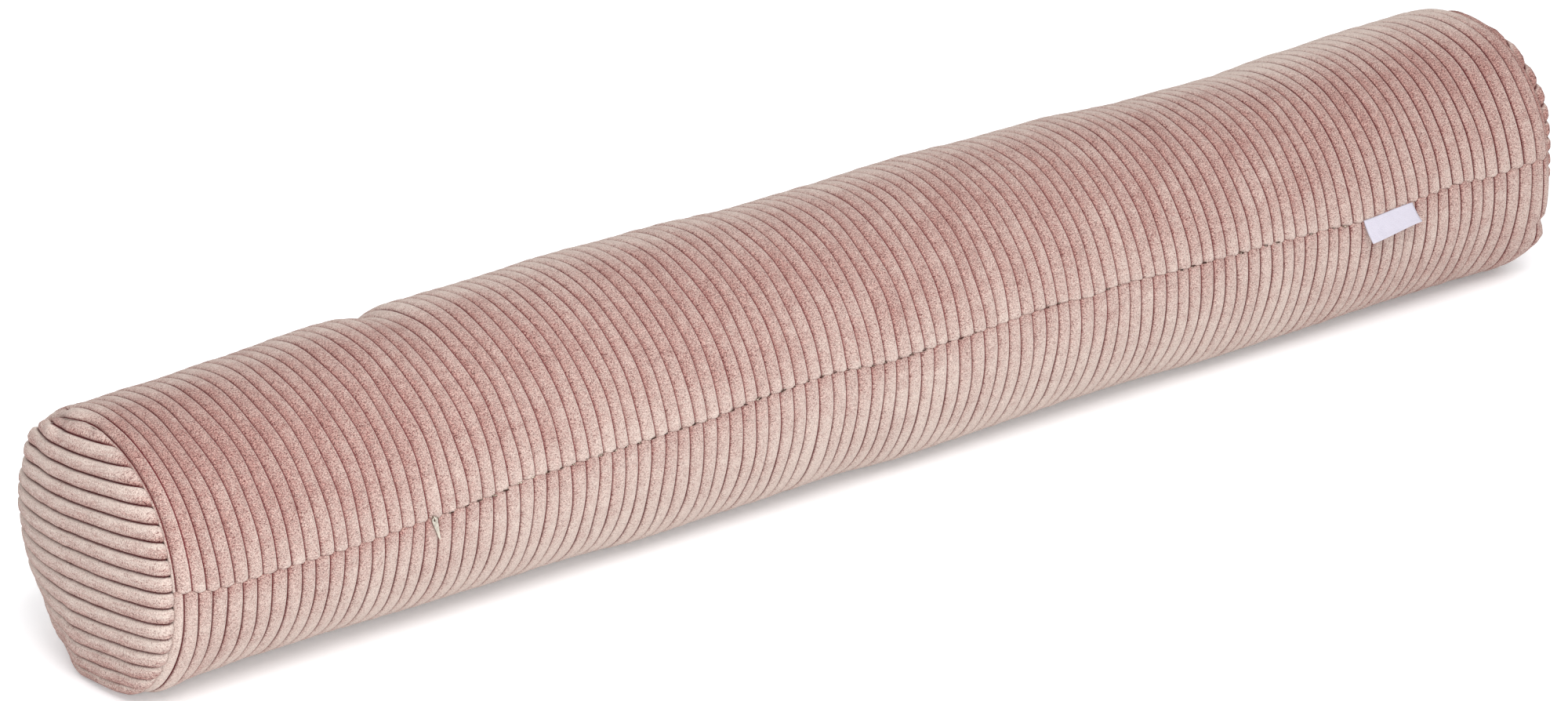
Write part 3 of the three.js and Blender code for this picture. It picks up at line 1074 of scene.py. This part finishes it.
# The pile's colour with its speckle and its grain
def pileColour(tree, paleness, worms, grain):
    look = pileLook
    rough = look["roughWhere"][0] - paleness * look["roughWhere"][1]
    pile = tree.mix(paleness, look["dark"], look["pale"])
    full, none = look["speckStops"]
    specks = tree.ramp(worms + (paleness - 0.5) * look["speckLean"], (full, white), (none, black))
    pile = tree.mix(specks * look["specks"] * rough, pile, look["speck"])
    tone = 1 + ((grain - 0.5) + (worms - 0.5) * look["wormGrain"]) * look["grain"] * rough
    shade = tree.node("ShaderNodeCombineColor", None, {0: tone, 1: tone, 2: tone})
    return tree.mix(1.0, pile, shade, "MULTIPLY")


def corduroyFinish():
    look = pileLook
    material, tree = newMaterial("dustyPinkCorduroy")
    wale, along = tree.mapPlace("cloth")
    place, shaded = tree.objectPlace(), tree.reading("shaded")
    small = tree.noise(place, *pileNoise["small"])
    worms = tree.noise(tree.stretched(wale, along, pileStretch["worms"]), *pileNoise["worms"])
    grain = tree.noise(place, *pileNoise["grain"])
    pile = pileColour(tree, napLightAndShadeTone(tree, place, wale, along, small), worms, grain)
    squareness = cushion["squareness"] - shaded * look["shadedWidth"]
    height = 1 - abs(2 * wale.fraction() - 1) ** squareness
    # painted shade: darker grooves where they are shaded
    groove = tree.mix(shaded, look["groove"], look["shadedGroove"])
    colour = tree.mix(tree.mask(height, *look["grooveStops"]), groove, pile)
    # painted crease shade where the cloth is tucked into a seam
    inCreaseShade = tree.mask(tree.reading("tucked"), *look["creaseShadeStops"])
    colour = tree.mix(inCreaseShade, colour, look["creaseShade"])
    tufts = (grain - 0.5) * look["grainBump"] + (worms - 0.5) * look["wormBump"]
    tufts = tufts + (small - 0.5) * look["smallBump"]
    tree.surface({
        "Base Color": colour, "Roughness": 0.95, "Specular IOR Level": 0.04,
        "Normal": tree.bump(tufts, look["bumpHeight"], look["bumpStrength"]),
        "Sheen Weight": look["sheen"], "Sheen Roughness": 0.5, "Sheen Tint": look["sheenTint"]})
    return material


corduroyPaint = corduroyFinish()
wales = walesTree()
for cloth, look, seed in ((panel, cushion, 3), (leftDisc, disc, 5), (rightDisc, disc, 8)):
    runTree(cloth, wales, {"Relief": look["relief"], "Squareness": look["squareness"],
                           "Unevenness": corduroy["unevenness"], "Seed": seed,
                           "Finish": corduroyPaint})
for cloth in (leftDisc, rightDisc):
    thicken(cloth, disc["back"], -1)
print("wales raised")

panelPieces = [(panel, "bolster_body"), (leftDisc, "end_disc_left"), (rightDisc, "end_disc_right")]
for cloth, node in panelPieces:
    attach(cloth, "root")
    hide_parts(node)

# The closed zip lies down in the front seam, and dark bits show where the upper grooves meet it
zipper = {
    "half": 0.298,            # length each side of the middle
    "spacing": 0.0020,        # of the coil's teeth
    "depth": 0.0030,          # of the chain under the grooves
    "bitsUntil": 0.298,       # where the last dark bits show between the wale ends
    "bitsMissing": 0.80,      # share of the grooves without one, towards the right
    "missingFrom": -0.05, "missingTo": 0.08,
    "bitLength": 0.0025,
    "bitLift": 0.0016,
    "bitAbove": 0.0002,
    "bitShift": -0.0006,      # along the seam, from its groove
    "shiftJitter": 0.0008, "placeJitter": 0.0002, "turnJitter": 0.25,
    "bitSizes": (0.55, 1.15),
    "seed": 11,
    "threadScale": 700.0,
    "threadStops": [(0.50, (0.030, 0.012, 0.009)), (0.56, (0.11, 0.065, 0.045)),
                    (0.66, (0.50, 0.44, 0.36))],
}
pull = {
    "at": -0.2990, "above": -0.0002, "lift": 0.0026,
    "lean": 15,               # degrees off straight down
    "length": 0.0130,
    "top": 0.0034,            # widths of its two ends
    "tip": 0.0009,
    "thickness": 0.0008,
    "bevel": 0.0002,
    "hole": 0.0007,
    "loopRadius": 0.0011, "wireRadius": 0.0003, "loopLift": -0.0001,
    "loopCuts": 20, "wireCuts": 8,
    "restsAt": 0.45,          # how far down it the cloth sets its direction, as a share
    "wearScale": 420.0,
    "wearStops": [(0.35, (0.36, 0.33, 0.28)), (0.65, (0.60, 0.56, 0.48))],
}


def boxes(name, parts):
    places, faces = [], []
    for part in parts:
        (x, y, z), (a, b, c) = part["at"], part["size"]
        first = len(places)
        places += [(x + i * a / 2, y + j * b / 2, z + k * c / 2)
                   for i in (-1, 1) for j in (-1, 1) for k in (-1, 1)]
        sides = [(0, 1, 3, 2), (4, 6, 7, 5), (0, 4, 5, 1), (2, 3, 7, 6), (0, 2, 6, 4), (1, 5, 7, 3)]
        faces += [tuple(first + i for i in side) for side in sides]
    mesh = bpy.data.meshes.new(name)
    mesh.from_pydata([(x * mm, y * mm, z * mm) for x, y, z in places], [], faces)
    return newObject(name, mesh)


# Frames on the cloth: +X along the seam and +Y outwards
def framesAt(x, above, lift, tilt):
    points, outward = onCloth(x, above, lift)
    ahead = onCloth(x + mm, above, lift)[0]
    frames = []
    for i in range(len(x)):
        out = Vector(outward[i])
        along = (Vector(ahead[i]) - Vector(points[i])).normalized()
        across = along.cross(out).normalized()
        along = out.cross(across)
        turned = Matrix.Rotation(tilt[i], 3, out) @ Matrix((along, out, across)).transposed()
        frames.append(turned)
    return points, frames


# Where the grooves of the upper side meet the front seam
def upperGrooves():
    lower = np.arange(cushion["wales"]) + cushion["firstGroove"]
    across = lower * pitch
    for _ in range(4):
        across = (lower + slip(across - halfLength)) * pitch
    along = across - halfLength
    return along + lookUp(driftRows, "seam", along) * pitch


def zipTree():
    tree = ShapeTree("zipBits", {"Places": "Geometry", "Tooth": "Object", "Bit": "Object",
                                 "Finish": "Material"}, "Zip")
    joined = tree.tree.nodes.new("GeometryNodeJoinGeometry")
    for number, name in enumerate(("Tooth", "Bit")):
        shape = tree.node("GeometryNodeObjectInfo", None, {0: tree.value(name)}, "Geometry")
        chosen = 1 - abs(tree.named("part") - number)
        placed = tree.node("GeometryNodeInstanceOnPoints", None, {
            "Points": tree.value("Places"), "Selection": chosen, "Instance": shape,
            "Rotation": tree.named("turn", "FLOAT_VECTOR"), "Scale": tree.named("size")})
        tree.feed(joined.inputs[0], placed)
    return tree.finish(Wire(tree, joined.outputs[0]))


def zipFinish():
    material, tree = newMaterial("darkZipTape")
    threads = tree.noise(tree.objectPlace(), zipper["threadScale"])
    colour = tree.ramp(threads, *zipper["threadStops"])
    tree.surface({"Base Color": colour, "Roughness": 0.7, "Specular IOR Level": 0.12,
                  "Normal": tree.bump(threads, 0.0003)})
    return material


# One tooth of the coil, and one dark bit, in mm
def zipShapes():
    length, bitLength = zipper["spacing"] / mm, zipper["bitLength"] / mm
    tooth = boxes("tooth", [
        dict(at=(0, 0, 0), size=(0.9, 1.0, 1.5)),
        dict(at=(0, -0.2, 0.95), size=(length * 1.06, 1.9, 0.3)),
        dict(at=(0, -0.2, -0.95), size=(length * 1.06, 1.9, 0.3))])
    bit = boxes("bit", [
        dict(at=(0, 0, 0), size=(bitLength, 0.9, 0.42)),
        dict(at=(bitLength * 0.45, -0.3, 0.25), size=(bitLength * 0.5, 0.8, 0.35))])
    return tooth, bit


def makeZip():
    z = zipper
    random = np.random.default_rng(z["seed"])
    teeth = np.arange(-z["half"], z["half"], z["spacing"])
    grooves = upperGrooves()
    grooves = grooves[np.abs(grooves) < z["bitsUntil"]]
    missing = z["bitsMissing"] * smoothStep(z["missingFrom"], z["missingTo"], grooves)
    bits = grooves[random.random(len(grooves)) < 1 - missing]
    jitter = random.uniform(-1, 1, (4, len(bits)))
    x = np.concatenate([teeth, bits + jitter[0] * z["shiftJitter"] + z["bitShift"]])
    above = np.concatenate([0 * teeth, z["bitAbove"] + jitter[1] * z["placeJitter"]])
    lift = np.concatenate([0 * teeth - z["depth"], z["bitLift"] + jitter[2] * z["placeJitter"]])
    tilt = np.concatenate([0 * teeth, jitter[3] * z["turnJitter"]])
    size = np.concatenate([0 * teeth + 1, random.uniform(*z["bitSizes"], len(bits))])
    points, frames = framesAt(x, above, lift, tilt)
    mesh = bpy.data.meshes.new("zip")
    mesh.from_pydata(points.tolist(), [], [])
    addNumbers(mesh, "part", np.arange(len(x)) >= len(teeth))
    addNumbers(mesh, "size", size)
    addVectors(mesh, "turn", [list(frame.to_euler()) for frame in frames])
    chain = newObject("zip", mesh)
    tooth, bit = zipShapes()
    runTree(chain, zipTree(), {"Tooth": tooth, "Bit": bit, "Finish": zipFinish()})
    for helper in (tooth, bit):
        bpy.data.objects.remove(helper)
    return chain


def metalFinish():
    material, tree = newMaterial("satinMetal")
    wear = tree.noise(tree.objectPlace(), pull["wearScale"], 3.0)
    colour = tree.ramp(wear, *pull["wearStops"])
    tree.surface({"Base Color": colour, "Metallic": 1.0, "Roughness": 0.34 + (wear - 0.5) * 0.3})
    return material


def arc(radius, start, stop, count):
    return [(radius * math.cos(a), radius * math.sin(a)) for a in np.linspace(start, stop, count)]


# The slider's flat tapered pull, with a hole at the middle of its wide end
def pullPlate():
    top, tip = pull["top"] / 2, pull["tip"] / 2
    low = -(pull["length"] - top - tip)
    outline = arc(top, 0, np.pi, 13)
    outline += [(x, low + y) for x, y in arc(-tip, 0, np.pi, 7)]
    shape = bpy.data.curves.new("pull", "CURVE")
    shape.dimensions, shape.fill_mode = "2D", "BOTH"
    shape.extrude = pull["thickness"] / 2 - pull["bevel"]
    shape.bevel_depth, shape.bevel_resolution, shape.offset = pull["bevel"], 2, -pull["bevel"]
    for line in (outline, arc(pull["hole"], 0, 2 * np.pi, 15)[:-1]):
        spline = shape.splines.new("POLY")
        spline.points.add(len(line) - 1)
        spline.points.foreach_set("co", np.array([(x, y, 0, 1) for x, y in line]).reshape(-1))
        spline.use_cyclic_u = True
    plate = newObject("pullShape", shape)
    mesh = evaluatedMesh(plate)
    bpy.data.objects.remove(plate)
    return mesh


# The wire loop from the pull's hole back into the seam
def addLoop(work):
    around, cuts = pull["loopCuts"], pull["wireCuts"]
    middle = Vector((0, pull["loopRadius"], pull["loopLift"]))
    loop = []
    for turn in np.arange(around) * 2 * math.pi / around:
        out = Vector((0, math.cos(turn), math.sin(turn)))
        centre = middle + out * pull["loopRadius"]
        ring = [(out * a + Vector((b, 0, 0))) * pull["wireRadius"]
                for a, b in arc(1, 0, 2 * math.pi, cuts + 1)[:-1]]
        loop.append([work.verts.new(centre + offset) for offset in ring])
    for i in range(around):
        here, there = loop[i], loop[(i + 1) % around]
        for j in range(cuts):
            k = (j + 1) % cuts
            work.faces.new((here[j], here[k], there[k], there[j]))


def makePull():
    mesh = pullPlate()
    work = bmesh.new()
    work.from_mesh(mesh)
    bmesh.ops.remove_doubles(work, verts=work.verts, dist=1e-6)
    addLoop(work)
    bmesh.ops.recalc_face_normals(work, faces=work.faces)
    work.to_mesh(mesh)
    work.free()

    # its wide end hangs at the seam, and it lies along the cloth halfway down
    lean, still = math.radians(pull["lean"]), np.zeros(1)
    place = onCloth(still + pull["at"], still + pull["above"], still + pull["lift"])[0][0]
    halfway = still + pull["at"] + math.sin(lean) * pull["length"] / 2
    frame = framesAt(halfway, still - pull["length"] * pull["restsAt"], still, still)[1][0]
    along, out, across = [Vector(column) for column in np.array(frame).T]
    turned = Matrix.Rotation(lean, 3, out) @ Matrix((along, -across, out)).transposed()
    mesh.transform(Matrix.Translation(Vector(place)) @ turned.to_4x4())
    mesh.materials.clear()
    mesh.materials.append(metalFinish())
    return newObject("zipPull", mesh)


zipPiece, pullPiece = makeZip(), makePull()
for piece, node, slot in ((zipPiece, "zip_chain", "zip_tape"), (pullPiece, "zip_pull", "zip_metal")):
    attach(piece, "root")
    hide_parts(node)
print("zip made", len(zipPiece.data.polygons), len(pullPiece.data.polygons))

# The blank label is sewn into the front seam beside the zip's right end
label = {
    "from": 0.3095, "to": 0.3445,
    "length": 0.0113,         # from the seam to the fold
    "leftSlant": 34, "rightSlant": 43,          # degrees off the cloth
    "sewnSlant": 0.55,        # of the sewn edge, as a share of that
    "ripple": 0.02, "rippleTurn": 5.0, "rippleStart": 0.6,     # radians
    "thickness": 0.00030, "between": 0.00035,   # of one layer, and between the two
    "skew": 0.14,             # how much longer the left side shows than the right, as a share
    "lift": 0.0012,           # of the sewn edge over the grooves
    "tuck": 0.0004,           # of the sewn edge above the seam line
    "sewnTogether": 0.6,      # how much closer the two layers are at the sewn edge
    "longCuts": 25, "layerCuts": 15, "foldCuts": 9,
    "warp": 14000.0, "weft": 9000.0,            # of the weave, in radians for each metre
    "slubScale": 300.0,
    "tapeStops": [(0.0, (0.42, 0.40, 0.465)), (1.0, (0.50, 0.475, 0.545))],
}


# One strip, folded in half: down the front, round the fold and up behind
def makeLabel():
    k = label
    half = (k["between"] + k["thickness"]) / 2
    straight = np.linspace(0, 1, k["layerCuts"])
    bend = np.linspace(0, np.pi, k["foldCuts"])[1:-1]
    share = np.concatenate([straight, np.ones(len(bend)), straight[::-1]])
    turn = np.concatenate([0 * straight, bend, 0 * straight + np.pi])
    x = np.linspace(k["from"], k["to"], k["longCuts"])[:, None] + 0 * share
    end = (x - k["from"]) / (k["to"] - k["from"])
    slant = np.radians(k["leftSlant"] + (k["rightSlant"] - k["leftSlant"]) * end)
    slant = slant * (k["sewnSlant"] + (1 - k["sewnSlant"]) * share)
    slant = slant + k["ripple"] * np.sin(end * k["rippleTurn"] + k["rippleStart"])
    onward = share * k["length"] * (1 + k["skew"] * (0.5 - end)) + np.sin(turn) * half
    across = np.cos(turn) * half * (1 - k["sewnTogether"] * (1 - share) ** 3) + half
    above = k["tuck"] * (1 - 2 * end) - onward * np.cos(slant) - across * np.sin(slant) * share
    away = k["lift"] + onward * np.sin(slant) + across * np.cos(slant)
    points, outward = onCloth(x, above, 0 * x)
    points = points + outward * away[..., None]
    mesh = gridMesh("label", points, False)
    length = 2 * k["length"] + math.pi * half
    distance = np.concatenate([straight * k["length"], k["length"] + bend * half,
                               length - straight[::-1] * k["length"]])
    addClothMap(mesh, "tape", x, distance + 0 * x)
    piece = newObject("sewnLabel", mesh)
    thicken(piece, k["thickness"], 0)
    piece.data.shade_smooth()
    return piece, (k["to"] - k["from"], length)


def labelFinish():
    material, tree = newMaterial("wovenSatin")
    along, across = tree.mapPlace("tape")
    threads = (along * label["warp"]).sine() * 0.5 + (across * label["weft"]).sine() * 0.5
    weave = threads + (tree.noise(tree.objectPlace(), label["slubScale"]) - 0.5) * 2
    colour = tree.ramp(weave * 0.5 + 0.5, *label["tapeStops"])
    tree.surface({"Base Color": colour, "Roughness": 0.5, "Sheen Weight": 0.15,
                  "Normal": tree.bump(weave, 0.00006)})
    return material


labelPiece, labelFlat = makeLabel()
labelPiece.data.materials.append(labelFinish())
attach(labelPiece, "root")
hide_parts("label")
print("label made, flat", labelFlat)

# The floor that the cushion lies on, the light and the camera
studio = {
    "floorSize": 12.0,
    "floorColour": (0.96, 0.96, 0.97, 1),
    # the floor glows a little: painted light that lightens the shadows on it and lights the cushion from
    # below
    "floorGlow": 0.12, "glowColour": (0.94, 0.98, 1, 1),
    "worldStrength": 0.9,
    "azimuth": -38.573, "elevation": 22.495, "distance": 3.7370,     # the camera's, round its aim
    "aim": (-0.0126, 0.0139, 0.0518),
    "lens": 167.17,
}

# Round lamps that point at the middle of the floor
lightRows = [
    dict(name="key", place=(-0.6, -1.6, 2.6), size=2.0, power=58),
    dict(name="fill", place=(-2.1, -2.5, 0.9), size=1.6, power=46),
]


def makeFloor():
    half = studio["floorSize"] / 2
    mesh = bpy.data.meshes.new("floor")
    mesh.from_pydata([(-half, -half, 0), (half, -half, 0), (half, half, 0), (-half, half, 0)], [],
                     [(0, 1, 2, 3)])
    floor = newObject("floor", mesh)
    material, tree = newMaterial("paleFloor")
    tree.surface({"Base Color": studio["floorColour"], "Roughness": 0.8,
                  "Emission Color": studio["glowColour"], "Emission Strength": studio["floorGlow"]})
    floor.data.materials.append(material)


def makeLight(name, place, size, power):
    data = bpy.data.lights.new(name, "AREA")
    data.shape, data.size, data.energy = "DISK", size, power
    lamp = newObject(name, data)
    lamp.location = place
    lamp.rotation_euler = (-Vector(place)).to_track_quat("-Z", "Y").to_euler()


def makeWorld():
    world = bpy.data.worlds.new("whiteRoom")
    world.use_nodes = True
    tree = Tree(world.node_tree)
    light = tree.node("ShaderNodeBackground", None, {
        "Color": (1, 1, 1, 1), "Strength": studio["worldStrength"]})
    tree.node("ShaderNodeOutputWorld", None, {"Surface": light})
    bpy.context.scene.world = world


def makeCamera():
    a, e = math.radians(studio["azimuth"]), math.radians(studio["elevation"])
    back = Vector((math.sin(a) * math.cos(e), -math.cos(a) * math.cos(e), math.sin(e)))
    data = bpy.data.cameras.new("camera")
    data.lens = studio["lens"]
    camera = newObject("camera", data)
    camera.location = Vector(studio["aim"]) + back * studio["distance"]
    camera.rotation_euler = (-back).to_track_quat("-Z", "Y").to_euler()
    bpy.context.scene.camera = camera


makeFloor()
makeWorld()
for row in lightRows:
    makeLight(**row)
makeCamera()
bpy.context.scene.view_settings.view_transform = "Standard"
